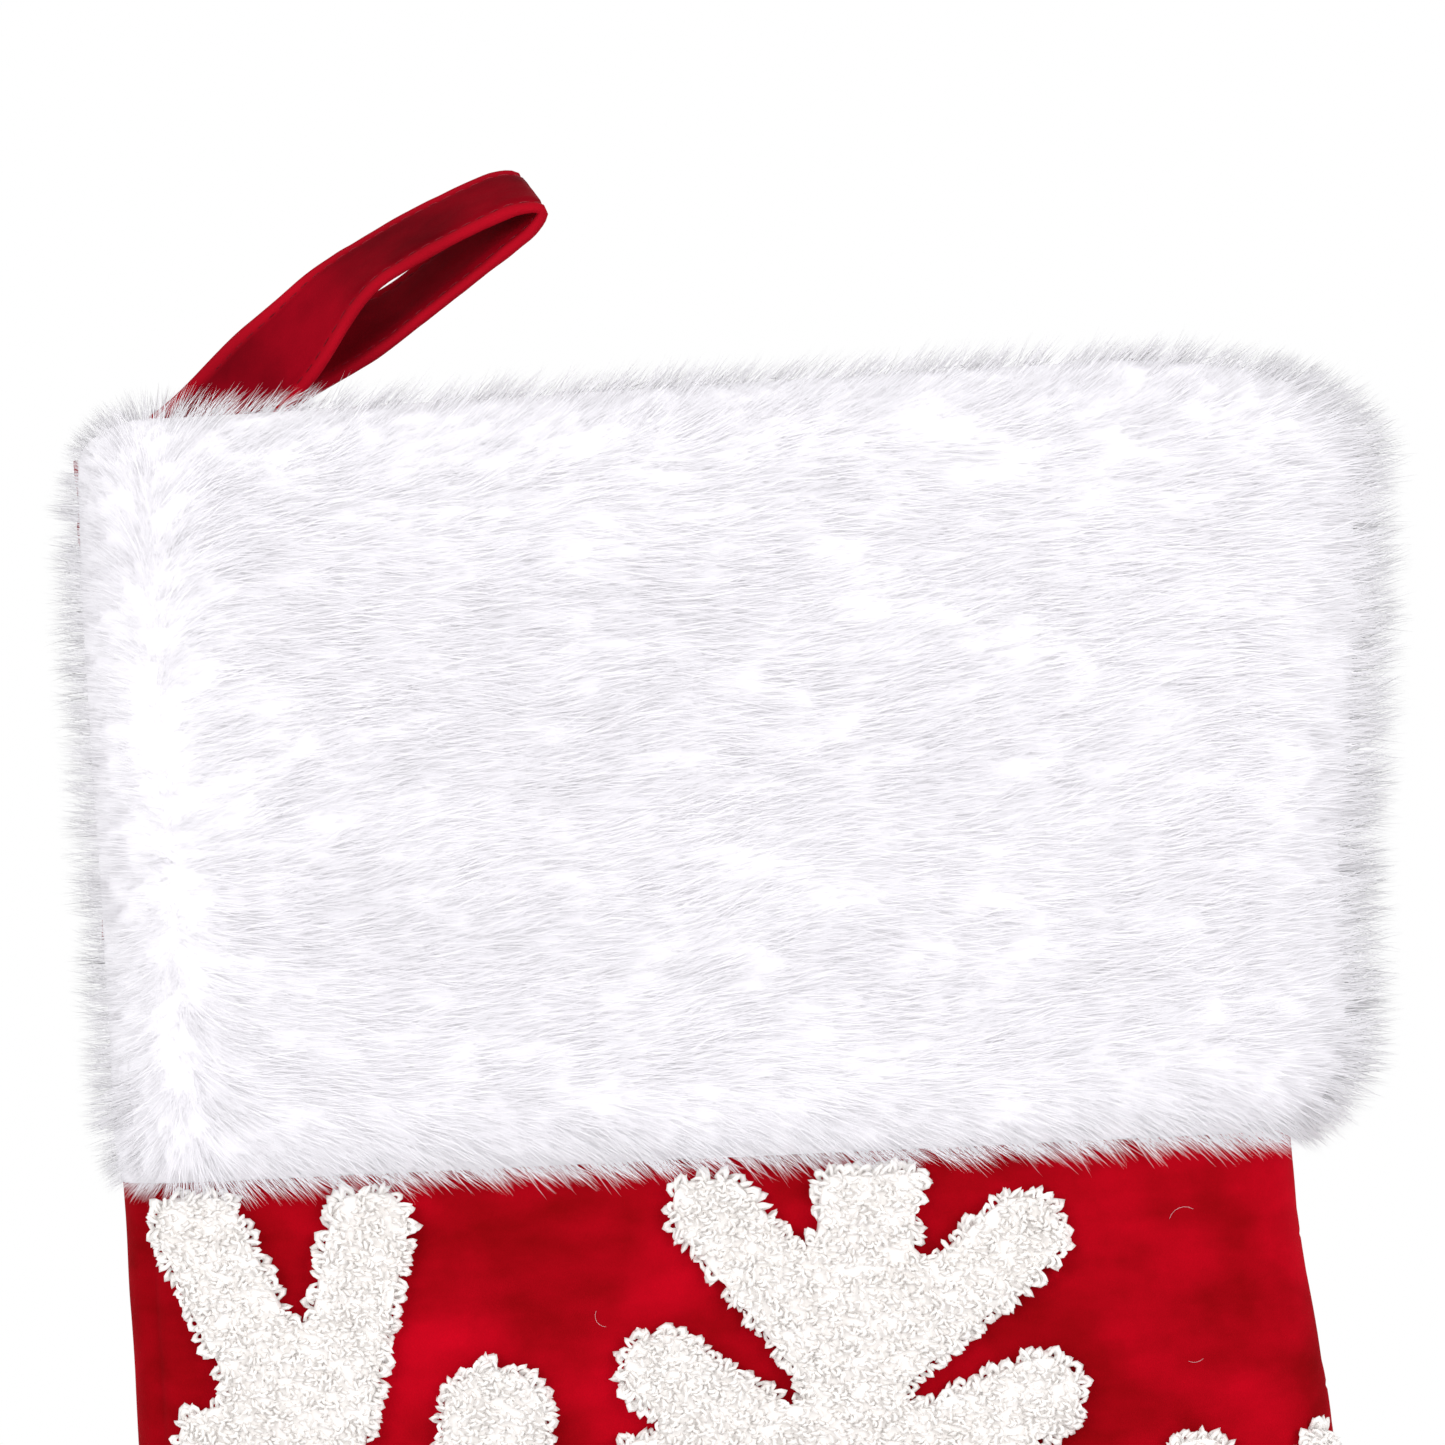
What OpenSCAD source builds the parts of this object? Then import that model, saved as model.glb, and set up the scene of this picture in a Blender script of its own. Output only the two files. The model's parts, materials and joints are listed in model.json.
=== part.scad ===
// Hanging stocking: velvet leg and foot, plush cuff, folded hanging strap and tufted snowflakes.
// Millimetres. X runs from the heel side to the toe side, Y from front to back and Z up.
// The origin is the hanging point: the inside of the strap's fold, where a hook or nail bears.

/* [Leg and foot] */
// Width of the velvet leg at the mouth
mouth_width = 249; // [235:1:265]
// Width of the leg at the cuff's lower edge
leg_width = 239.5; // [225:0.5:250]
// Width of the leg at the ankle, where the instep begins
ankle_width = 248; // [235:1:265]
// Height of the straight part of the leg, from the mouth down
leg_height = 282; // [260:1:320]
// Radius of the heel
heel_radius = 80; // [70:1:90]
// Radius of the toe
toe_radius = 70; // [60:1:80]
// Distance along X from the heel's centre to the toe's centre
foot_reach = 196; // [170:1:220]
// How much lower the toe's centre lies than the heel's centre
foot_fall = 46; // [20:1:60]
// Angle by which the sole arches up between heel and toe
sole_arch = 5; // [0:1:9]
// Depth of one half of the leg, from the side seams to its flat face
half_depth = 14.4; // [12:0.2:18]
// Width of the rounded rim beside the side seams
rim_roll = 16; // [12:1:22]

/* [Cloth] */
// Thickness of the velvet with its backing
velvet_thickness = 1.6; // [1:0.1:2]
// Width of the joined seam allowance inside the velvet
seam_allowance = 1.2; // [0.8:0.1:1.6]
// Thickness of the lining
lining_thickness = 0.8; // [0.5:0.1:1.2]
// Thickness of the plush facing inside the mouth
facing_thickness = 2; // [1:0.1:2.5]
// Height of the plush facing
facing_height = 26; // [15:1:40]

/* [Cuff] */
// Height of the cuff on the heel side
cuff_height = 158; // [120:1:180]
// How much further down the cuff reaches on the toe side
cuff_slope = 5; // [0:1:10]
// Depth of the pile on the front and on the back
pile_depth = 11; // [6:0.5:14]
// Depth of the pile beyond the heel-side seam
pile_heel_side = 5; // [3:0.5:8]
// Depth of the pile beyond the toe-side seam
pile_toe_side = 14; // [6:0.5:18]
// Height over which the pile rounds off at the cuff's two edges
pile_round = 14; // [8:1:20]

/* [Hanging loop] */
// Width of the strap
strap_width = 19; // [14:0.5:20]
// Thickness of the strap, which is velvet folded double
strap_thickness = 2.2; // [1.6:0.1:2.4]
// Distance of the strap's root from the hanging point, towards the heel side
root_reach = 67; // [64:1:70]
// Depth of the strap's root below the hanging point
root_drop = 42; // [41:0.5:45]
// Distance along the strap from its root to the line where the loop flops over
fold_distance = 28; // [27:1:30]
// Width of the loop's eye at its widest, between the middles of its two legs
eye_width = 14; // [12:0.5:16]
// How far the loop bows upwards between its base and the fold
loop_bow = 4; // [0:0.5:6]
// Angle by which the strap turns about its own length up to the fold
strap_twist = 55; // [0:1:65]

/* [Snowflakes] */
// How far the tufted pile stands off the velvet
tuft_depth = 6; // [3:0.5:7]
// Width of a snowflake's arms
arm_width = 18; // [12:0.5:20]

/* [Hidden] */

velvet_red = [0.62, 0.01, 0.06];
pile_white = [0.96, 0.95, 0.97];
tuft_cream = [0.94, 0.93, 0.91];
lining_white = [0.90, 0.89, 0.87];
thread_red = [0.70, 0.05, 0.09];

// Clearances between pieces that are sewn together and between the two halves
seam_gap = 0.05;
layer_gap = 0.15;

heel_x = -95;
cuff_top = -38;
mouth_z = cuff_top - 2;
cuff_bottom = cuff_top - cuff_height;
cuff_bottom_toe = cuff_bottom - cuff_slope;
heel_center = [heel_x + heel_radius - 7, mouth_z - leg_height - 95];
toe_center = heel_center + [foot_reach, -foot_fall];
foot_axis = atan2(-foot_fall, foot_reach);
sole_normal = foot_axis - acos((heel_radius - toe_radius) / norm([foot_reach, foot_fall]));
heel_start = 172;
toe_end = 65;

function along(angle) = [cos(angle), sin(angle)];
function on_circle(c, r, angle) = c + r * along(angle);
function arc(c, r, from, to, steps) = [for (i = [0:steps]) on_circle(c, r, from + (to - from) * i / steps)];
function bezier(a, b, c, d, t) =
    pow(1 - t, 3) * a + 3 * t * pow(1 - t, 2) * b + 3 * t * t * (1 - t) * c + pow(t, 3) * d;
// Points between the two ends of a curve, both ends left out
function curve(a, b, c, d, steps) = [for (i = [1:steps - 1]) bezier(a, b, c, d, i / steps)];

// ---- Outline of the velvet, as [x, z], from the mouth's heel side round the foot to its toe side
leg_back = [heel_x, mouth_z - leg_height];
heel_top = on_circle(heel_center, heel_radius, heel_start);
heel_end = on_circle(heel_center, heel_radius, 360 + sole_normal + sole_arch);
toe_start = on_circle(toe_center, toe_radius, sole_normal - sole_arch);
toe_top = on_circle(toe_center, toe_radius, toe_end);
ankle_front = [heel_x + ankle_width, mouth_z - leg_height + 20];
cuff_front_edge = [heel_x + leg_width, cuff_bottom_toe];
mouth_front = [heel_x + mouth_width, mouth_z];
sole_pull = foot_reach / 3;
outline = concat(
    [[heel_x, mouth_z], leg_back],
    curve(leg_back, leg_back - [0, 30], heel_top - 30 * along(heel_start + 90), heel_top, 4),
    arc(heel_center, heel_radius, heel_start, 360 + sole_normal + sole_arch, 10),
    curve(heel_end, heel_end + sole_pull * along(sole_normal + sole_arch + 90),
          toe_start - sole_pull * along(sole_normal - sole_arch + 90), toe_start, 5),
    arc(toe_center, toe_radius, sole_normal - sole_arch, toe_end, 14),
    curve(toe_top, toe_top + 45 * along(toe_end + 90), ankle_front - [-6, 60], ankle_front, 8),
    [ankle_front, cuff_front_edge, mouth_front]);
count = len(outline);
last = count - 1;
fan_middle = heel_center + [55, 25];

function unit(v) = v / norm(v);
function inward(i) =
    i == 0 ? [1, 0] :
    i == last ? [-1, 0] :
    let (t = unit(outline[i + 1] - outline[i - 1])) [-t[1], t[0]];
function inset(i, d) = outline[i] + d * inward(i);
// Front edge of the leg at a height inside the cuff
function front_edge(z) =
    mouth_front[0] + (cuff_front_edge[0] - mouth_front[0]) * (mouth_z - z) / (mouth_z - cuff_bottom_toe);

function reversed(list) = [for (i = [len(list) - 1:-1:0]) list[i]];
function flat_list(lists) = [for (list = lists) for (item = list) item];
// Two triangles for one four-sided patch
function patch(a, b, c, d) = [[a, b, c], [a, c, d]];

// A solid through rings of equal length. Each ring runs out along one side and back along the
// other, so a flat face at each end joins the two sides point by point.
module skin(rings) {
    n = len(rings[0]);
    m = len(rings);
    walls = [for (j = [0:m - 2]) for (i = [0:n - 1])
             let (k = (i + 1) % n) each patch(j * n + i, (j + 1) * n + i, (j + 1) * n + k, j * n + k)];
    start = [for (i = [0:n / 2 - 2]) each patch(i, i + 1, n - 2 - i, n - 1 - i)];
    end = [for (face = start) reversed([for (i = face) (m - 1) * n + i])];
    polyhedron(flat_list(rings), concat(walls, start, end), convexity = 6);
}

// One half of the bag: a dished sheet that follows the outline and is open at the mouth.
// Its outer and inner faces lie outer_offset and inner_offset inside the velvet's face.
module dished_half(outer_offset, inner_offset) {
    steps = 4;
    function ring(offset, angle) = [for (i = [0:last])
        let (p = inset(i, rim_roll - (rim_roll - offset) * cos(angle)))
        [p[0], -seam_gap - (half_depth - offset) * sin(angle), p[1]]];
    points = flat_list([for (offset = [outer_offset, inner_offset]) for (j = [0:steps])
                        ring(offset, 90 * j / steps)]);
    function at(side, j, i) = (side * (steps + 1) + j) * count + i;
    outer_wall = [for (j = [0:steps - 1]) for (i = [0:last - 1])
                  each patch(at(0, j, i), at(0, j, i + 1), at(0, j + 1, i + 1), at(0, j + 1, i))];
    inner_wall = [for (j = [0:steps - 1]) for (i = [0:last - 1])
                  each patch(at(1, j, i), at(1, j + 1, i), at(1, j + 1, i + 1), at(1, j, i + 1))];
    seam_face = [for (i = [0:last - 1]) each patch(at(0, 0, i), at(1, 0, i), at(1, 0, i + 1), at(0, 0, i + 1))];
    // Each flat face fans out from a point over the heel, which every part of the outline can see
    outer_middle = len(points);
    inner_middle = outer_middle + 1;
    middles = [for (offset = [outer_offset, inner_offset])
               [fan_middle[0], -half_depth + offset - seam_gap, fan_middle[1]]];
    outer_face = [for (i = [0:last]) [outer_middle, at(0, steps, i), at(0, steps, (i + 1) % count)]];
    inner_face = [for (i = [0:last]) [inner_middle, at(1, steps, (i + 1) % count), at(1, steps, i)]];
    mouth_heel = [for (j = [0:steps - 1]) each patch(at(0, j, 0), at(0, j + 1, 0), at(1, j + 1, 0), at(1, j, 0))];
    mouth_flat = patch(at(0, steps, 0), at(0, steps, last), at(1, steps, last), at(1, steps, 0));
    mouth_toe = [for (j = [0:steps - 1])
                 each patch(at(0, j + 1, last), at(0, j, last), at(1, j, last), at(1, j + 1, last))];
    faces = concat(outer_wall, inner_wall, seam_face, outer_face, inner_face, mouth_heel, mouth_flat, mouth_toe);
    polyhedron(concat(points, middles), [for (face = faces) reversed(face)], convexity = 6);
}

module front_panel() {
    color(velvet_red) dished_half(0, velvet_thickness);
}

module back_panel() {
    color(velvet_red) mirror([0, 1, 0]) dished_half(0, velvet_thickness);
}

// The raw edges of both panels, sewn and overlocked together just inside the velvet
allowance_start = velvet_thickness + layer_gap;
allowance_end = allowance_start + seam_allowance;
module side_seam() {
    half = seam_allowance / 2;
    rings = [for (i = [0:last])
        let (a = inset(i, allowance_start), b = inset(i, allowance_end))
        [[a[0], -half, a[1]], [b[0], -half, b[1]], [b[0], half, b[1]], [a[0], half, a[1]]]];
    color(thread_red) skin(reversed(rings));
}

lining_start = allowance_end + layer_gap;
lining_end = lining_start + lining_thickness;
module lining_front() {
    color(lining_white) dished_half(lining_start, lining_end);
}

module lining_back() {
    color(lining_white) mirror([0, 1, 0]) dished_half(lining_start, lining_end);
}

// Half of an oval, as [x, y], from its heel-side end over the front to its toe-side end
function half_oval(x0, x1, r0, r1, depth, gap) = concat(
    [for (i = [0:6]) [x0 + r0 - r0 * cos(15 * i), -gap - (depth - gap) * sin(15 * i)]],
    [for (i = [6:-1:0]) [x1 - r1 + r1 * cos(15 * i), -gap - (depth - gap) * sin(15 * i)]]);
function whole_oval(offset) =
    let (r = rim_roll - offset, front = half_oval(heel_x + offset, front_edge(cuff_top - facing_height) - offset,
                                                  r, r, half_depth - offset, 0))
    concat(front, [for (i = [len(front) - 2:-1:1]) [front[i][0], -front[i][1]]]);

// The plush turned in over the mouth, a closed band inside the lining
facing_start = lining_end + 2 * layer_gap;
facing_end = facing_start + facing_thickness;
module mouth_facing() {
    color(pile_white) translate([0, 0, mouth_z - facing_height]) linear_extrude(facing_height) difference() {
        polygon(whole_oval(facing_start));
        polygon(whole_oval(facing_end));
    }
}

// One half of the cuff, whose pile is thin at its top and bottom edges and full between them
cuff_seam_thickness = 1;
cuff_gap = cuff_seam_thickness / 2 + seam_gap;
module cuff_half() {
    function cuff_ring(z, fullness) =
        let (front = front_edge(z),
             outer = half_oval(heel_x - pile_heel_side * fullness, front + pile_toe_side * fullness,
                               rim_roll + pile_heel_side * fullness, rim_roll + pile_toe_side * fullness,
                               half_depth + pile_depth * fullness, cuff_gap),
             inner = half_oval(heel_x - layer_gap, front + layer_gap, rim_roll, rim_roll,
                               half_depth + layer_gap, cuff_gap),
             slope = cuff_slope * (cuff_top - z) / cuff_height)
        [for (p = concat(outer, reversed(inner))) [p[0], p[1], z - slope * (p[0] - heel_x) / leg_width]];
    angles = [15, 30, 45, 60, 75, 90];
    upper = [for (a = angles) cuff_ring(cuff_top - pile_round * (1 - cos(a)), sin(a))];
    lower = [for (a = reversed(angles)) cuff_ring(cuff_bottom + pile_round * (1 - cos(a)), sin(a))];
    skin(concat(upper, lower));
}

module cuff_front() {
    color(pile_white) cuff_half();
}

module cuff_back() {
    color(pile_white) mirror([0, 1, 0]) cuff_half();
}

// The two seam allowances of the cuff, one on the heel side and one on the toe side
module cuff_seams() {
    high = cuff_top - pile_round;
    low = cuff_bottom + pile_round;
    reach = 2.6;
    clear = 2 * layer_gap;
    color(velvet_red) rotate([90, 0, 0]) linear_extrude(cuff_seam_thickness, center = true) {
        polygon([[heel_x - clear - reach, high], [heel_x - clear - reach, low],
                 [heel_x - clear, low], [heel_x - clear, high]]);
        polygon([[front_edge(high) + clear, high], [front_edge(low) + clear, low],
                 [front_edge(low) + clear + reach, low], [front_edge(high) + clear + reach, high]]);
    }
}

// ---- Hanging loop: the strap's sewn tails, its root and the loop itself
root = [-root_reach, -root_drop];
strap_angle = atan2(root_drop, root_reach);
strap_length = norm(root);
root_half_thickness = strap_thickness + 0.3;
pivot_clearance = 0.6;
tail_length = 30;
// How far the root can lean back over the heel side, which the tails are cut clear of
lean_limit = 105;
root_end = fold_distance - 3;
loop_start = fold_distance + 3;
stitch_inset = 2;
stitch_width = 0.8;
stitch_height = 0.4;

// Lays a flat outline, drawn with X along the strap and its root at the origin, in the strap's place
module on_strap(thickness) {
    translate([root[0], 0, root[1]]) rotate([90, 0, 0]) rotate([0, 0, strap_angle])
        linear_extrude(thickness, center = true) children();
}

// The strap's two ends, sewn into the heel-side seam below the root
module loop_tails() {
    wall_x = heel_x + facing_end + 0.6;
    clear = strap_width / 2 + pivot_clearance;
    color(velvet_red) difference() {
        on_strap(2 * root_half_thickness) difference() {
            translate([-tail_length, -strap_width / 2]) square([tail_length, strap_width]);
            bar((root_end + pivot_clearance) * along(lean_limit), [0, 0], 2 * clear);
        }
        translate([wall_x - 50, -10, root[1] - 60]) cube([50, 20, 100]);
    }
}

// The crossed box of stitches that holds the tails down, on the front and on the back
module loop_box_stitch() {
    length = 7;
    width = strap_width - 2 * stitch_inset - 4;
    middle = -strap_width / 2 - 6;
    reach = norm([length, width]);
    for (side = [-1, 1]) {
        color(thread_red) translate([0, side * (root_half_thickness + seam_gap + stitch_height / 2), 0])
            on_strap(stitch_height) translate([middle, 0]) {
                for (turn = [-1, 1]) {
                    rotate(turn * atan2(width, length)) square([reach, stitch_width], center = true);
                }
                for (edge = [-1, 1]) {
                    translate([0, edge * width / 2]) square([length, stitch_width], center = true);
                    translate([edge * length / 2, 0]) square([stitch_width, width], center = true);
                }
            }
    }
}

// The short stretch of strap above the mouth, both layers together, which leans about its round end
module loop_root() {
    color(velvet_red) on_strap(2 * root_half_thickness) {
        circle(r = strap_width / 2, $fn = 64);
        translate([0, -strap_width / 2]) square([root_end, strap_width]);
    }
}

// Topstitching along both edges of the root, on the front and on the back
module loop_root_topstitch() {
    for (side = [-1, 1]) {
        color(thread_red) translate([0, side * (root_half_thickness + seam_gap + stitch_height / 2), 0])
            on_strap(stitch_height) for (edge = [-1, 1]) {
                translate([root_end / 2, edge * (strap_width / 2 - stitch_inset)])
                    square([root_end - 2, stitch_width], center = true);
            }
    }
}

// The loop's middle line runs up the front leg, round the fold and down the back leg. The turn
// goes from 0 to 360 degrees, with the fold at 180 degrees.
lie = [cos(strap_angle), 0, sin(strap_angle)];
across = [-sin(strap_angle), 0, cos(strap_angle)];
back = [0, 1, 0];
first_turn = 20;
loop_length = (strap_length + strap_thickness / 2 - loop_start) / (1 - (1 - cos(first_turn)) / 2);
loop_base = strap_length + strap_thickness / 2 - loop_length;
rest_spread = strap_thickness / 2 + 0.35;
eye_spread = (eye_width / 2 - rest_spread) / 0.786;
function share(turn) = (1 - cos(turn)) / 2;
function twist(turn) = strap_twist * (1 - pow(1 - share(turn), 4)) * min(1, share(turn) * 6);
function width_axis(turn) = cos(twist(turn)) * across + sin(twist(turn)) * back;
function spread_axis(turn) = sin(twist(turn)) * across - cos(twist(turn)) * back;
function closing(turn) = rest_spread * min(1, max(-1, (180 - turn) / 30));
function opening(turn) = sin(turn) * (1 - share(turn) / 2);
function bow(turn) = loop_bow * 4 * share(turn) * (1 - share(turn));
function middle_line(turn) = [root[0], 0, root[1]] + (loop_base + loop_length * share(turn)) * lie
    + bow(turn) * across + (closing(turn) + eye_spread * opening(turn)) * spread_axis(turn);
function outward(turn) = unit(cross(middle_line(turn + 1) - middle_line(turn - 1), width_axis(turn)));
turn_steps = 56;
turns = [for (i = [0:turn_steps]) first_turn + (360 - 2 * first_turn) * i / turn_steps];

// A band that follows the loop's middle line, a given distance off it along its width and outwards
module loop_band(offset, width, low, high) {
    rings = [for (turn = turns)
        let (p = middle_line(turn), w = width_axis(turn), out = outward(turn), a = offset - width / 2,
             b = offset + width / 2)
        [p + b * w + high * out, p + a * w + high * out, p + a * w + low * out, p + b * w + low * out]];
    skin(rings);
}

module hang_loop() {
    color(velvet_red) loop_band(0, strap_width, -strap_thickness / 2, strap_thickness / 2);
}

// Two lines of topstitching round the outside of the loop
module hang_loop_topstitch() {
    surface = strap_thickness / 2 + 3 * layer_gap;
    color(thread_red) for (edge = [-1, 1]) {
        loop_band(edge * (strap_width / 2 - stitch_inset), stitch_width, surface, surface + stitch_height);
    }
}

// ---- Snowflakes, as flat outlines in X and Z
// A bar with a square start, which its neighbours cover, and a round end
module bar(from, to, width) {
    direction = atan2(to[1] - from[1], to[0] - from[0]);
    side = width / 2 * along(direction + 90);
    polygon(concat([from + side, from - side], arc(to, width / 2, direction - 90, direction + 90, 10)));
}

// The round middle that covers the square starts of a flake's arms
module middle(width) {
    polygon(arc([0, 0], 0.66 * width, 0, 345, 23));
}

// A straight arm with a pair of side branches that leave it near the middle of the flake
module branched_arm(angle, length, width) {
    fork = 0.32 * length * along(angle);
    bar([0, 0], length * along(angle), width * 1.2);
    for (side = [-1, 1]) {
        bar(fork, fork + 0.64 * length * along(angle + side * 45), width);
    }
}

// An arm that splits in two like a Y
module forked_arm(angle, trunk, prong, width) {
    fork = trunk * along(angle);
    bar([0, 0], fork, width * 1.2);
    for (side = [-1, 1]) {
        bar(fork, fork + prong * along(angle + side * 18.5), width);
    }
}

// Three branched arms with three plain ones between them
module branched_flake(start, length, width) {
    middle(width);
    for (i = [0:2]) {
        branched_arm(start + 120 * i, length, width);
        bar([0, 0], 0.86 * length * along(start + 60 + 120 * i), width);
    }
}

// Six forked arms
module forked_flake(start, trunk, prong, width) {
    middle(width);
    for (i = [0:5]) {
        forked_arm(start + 60 * i, trunk, prong, width);
    }
}

// The part of the velvet's face below the cuff that tufting can cover
module tuft_field() {
    edge = 1.5;
    below = 0.6;
    body = [for (i = [1:last - 1]) inset(i, edge)];
    polygon(concat([[heel_x + edge, cuff_bottom - below]], body, [[cuff_front_edge[0] - edge, cuff_bottom_toe - below]]));
}

module tufted(middle) {
    color(tuft_cream) translate([0, -half_depth - 2 * seam_gap, 0]) rotate([90, 0, 0]) linear_extrude(tuft_depth)
        intersection() {
            tuft_field();
            translate(middle) children();
        }
}

// The upper arm runs up to the cuff, so it is the longest
module snowflake_center() {
    tufted([48.5, -264.3]) {
        middle(arm_width);
        branched_arm(82, 70, arm_width);
        bar([0, 0], 42 * along(262), arm_width);
        for (angle = [22, 144]) {
            bar([0, 0], 44 * along(angle), arm_width);
        }
        for (angle = [202, 322]) {
            branched_arm(angle, 46, 0.85 * arm_width);
        }
    }
}

// The upper arm is forked, with its longer prong on the heel side, and a short branch stands beside it
module snowflake_left() {
    upper_fork = 28 * along(93.5);
    tufted([-56, -284]) {
        middle(arm_width);
        bar([0, 0], upper_fork, 1.2 * arm_width);
        bar(upper_fork, upper_fork + 57 * along(112), 1.05 * arm_width);
        bar(upper_fork, upper_fork + 52 * along(75), arm_width);
        bar([0, 0], [-23, 37], 0.85 * arm_width);
        bar([0, 0], [33, 20], arm_width);
        bar([33, 18], [34.5, 38], 1.3 * arm_width);
        for (angle = [195, 262, 325]) {
            forked_arm(angle, 20, 28, 0.8 * arm_width);
        }
    }
}

module snowflake_right() {
    tufted([134, -330]) {
        middle(arm_width);
        forked_arm(90, 24, 44, 0.85 * arm_width);
        for (angle = [150:60:390]) {
            forked_arm(angle, 14, 20, 0.7 * arm_width);
        }
    }
}

module snowflake_ankle() {
    tufted([48, -376]) branched_flake(100, 38, 0.55 * arm_width);
}

module snowflake_heel() {
    tufted([-45, -412]) forked_flake(80, 18, 24, 0.65 * arm_width);
}

module snowflake_foot() {
    tufted([72, -462]) forked_flake(95, 12, 20, 0.6 * arm_width);
}

module snowflake_toe() {
    tufted([172, -456]) branched_flake(75, 50, 0.6 * arm_width);
}

front_panel();
back_panel();
side_seam();
lining_front();
lining_back();
mouth_facing();
cuff_front();
cuff_back();
cuff_seams();
loop_tails();
loop_box_stitch();
loop_root();
loop_root_topstitch();
hang_loop();
hang_loop_topstitch();
snowflake_center();
snowflake_left();
snowflake_right();
snowflake_ankle();
snowflake_heel();
snowflake_foot();
snowflake_toe();
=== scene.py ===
"""A hanging stocking: a velvet leg and foot, a deep plush cuff, tufted snowflakes and a folded hanging loop.

Metres. X runs from the heel side to the toe side, Y from front to back and Z up. The origin is the
hanging point, inside the fold of the loop.
"""

import json
import math

import bmesh
import bpy
import numpy as np
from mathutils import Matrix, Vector, noise
from mathutils.bvhtree import BVHTree

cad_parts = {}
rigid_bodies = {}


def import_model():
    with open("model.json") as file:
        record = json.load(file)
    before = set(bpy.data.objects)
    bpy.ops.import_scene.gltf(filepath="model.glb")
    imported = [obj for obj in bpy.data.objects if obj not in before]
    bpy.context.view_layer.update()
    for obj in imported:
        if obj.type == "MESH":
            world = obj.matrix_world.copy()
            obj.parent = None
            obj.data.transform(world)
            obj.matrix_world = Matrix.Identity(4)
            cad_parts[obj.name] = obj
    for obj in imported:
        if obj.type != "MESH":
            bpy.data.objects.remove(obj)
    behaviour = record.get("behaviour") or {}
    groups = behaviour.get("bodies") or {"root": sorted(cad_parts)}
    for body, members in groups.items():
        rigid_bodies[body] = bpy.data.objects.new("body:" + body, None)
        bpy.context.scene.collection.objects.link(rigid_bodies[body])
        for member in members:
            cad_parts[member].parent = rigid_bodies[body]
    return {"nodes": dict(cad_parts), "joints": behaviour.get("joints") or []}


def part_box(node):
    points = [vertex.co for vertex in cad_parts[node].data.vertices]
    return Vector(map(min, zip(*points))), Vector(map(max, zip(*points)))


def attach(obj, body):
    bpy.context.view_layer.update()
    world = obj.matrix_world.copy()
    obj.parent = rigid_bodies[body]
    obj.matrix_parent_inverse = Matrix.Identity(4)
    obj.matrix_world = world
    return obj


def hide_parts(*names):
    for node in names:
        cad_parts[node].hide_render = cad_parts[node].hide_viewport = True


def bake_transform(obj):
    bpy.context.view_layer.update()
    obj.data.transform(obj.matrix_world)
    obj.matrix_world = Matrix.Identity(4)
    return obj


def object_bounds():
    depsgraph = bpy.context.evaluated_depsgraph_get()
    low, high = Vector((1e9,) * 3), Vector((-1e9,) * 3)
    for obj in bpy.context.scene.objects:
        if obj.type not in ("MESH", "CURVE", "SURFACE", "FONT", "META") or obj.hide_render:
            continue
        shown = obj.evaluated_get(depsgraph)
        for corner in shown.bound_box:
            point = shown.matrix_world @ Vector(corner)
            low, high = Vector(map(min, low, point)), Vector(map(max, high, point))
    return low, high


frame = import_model()
cad_low, cad_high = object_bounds()
nodes = frame["nodes"]


# ---- Camera, floor and light
# The camera looks straight at the cuff through a long lens, rolled a little, and stands far enough
# off to see a view a little wider than the cuff. The floor is plain and pale, below the toe.
view_width = 0.289
view_middle = Vector((0.0331, cad_low.y, -0.1086))
view_roll = math.radians(3.5)
camera = bpy.data.objects.new("camera", bpy.data.cameras.new("camera"))
camera.data.lens = 135
camera.data.sensor_width = 36
camera_distance = view_width * camera.data.lens / camera.data.sensor_width
camera.location = view_middle - Vector((0, camera_distance, 0))
camera.rotation_euler = (math.radians(90), view_roll, 0)
bpy.context.scene.collection.objects.link(camera)
bpy.context.scene.camera = camera
bpy.context.scene.view_settings.view_transform = "Standard"


def link_piece(name, form, material, smooth=True):
    """A new object with the form as its mesh."""
    mesh = bpy.data.meshes.new(name)
    form.to_mesh(mesh)
    form.free()
    if smooth:
        mesh.shade_smooth()
    piece = bpy.data.objects.new(name, mesh)
    bpy.context.scene.collection.objects.link(piece)
    if material:
        mesh.materials.append(material)
    return piece


floor_drop = 0.03
floor_form = bmesh.new()
bmesh.ops.create_grid(floor_form, x_segments=1, y_segments=1, size=1.5)
bmesh.ops.translate(floor_form, verts=floor_form.verts, vec=(0, 0, cad_low.z - floor_drop))
floor_paint = bpy.data.materials.new("floor_paint")
floor_paint.use_nodes = True
floor_paint.node_tree.nodes["Principled BSDF"].inputs["Base Color"].default_value = (0.82, 0.82, 0.83, 1)
floor_paint.node_tree.nodes["Principled BSDF"].inputs["Roughness"].default_value = 0.8
link_piece("floor", floor_form, floor_paint)


def soft_light(name, place, size, power):
    """A square soft box that faces the middle of the stocking."""
    lamp = bpy.data.lights.new(name, "AREA")
    lamp.size = size
    lamp.energy = power
    box = bpy.data.objects.new(name, lamp)
    box.location = place
    middle = (cad_low + cad_high) / 2
    box.rotation_euler = (middle - box.location).to_track_quat("-Z", "Y").to_euler()
    bpy.context.scene.collection.objects.link(box)


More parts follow.
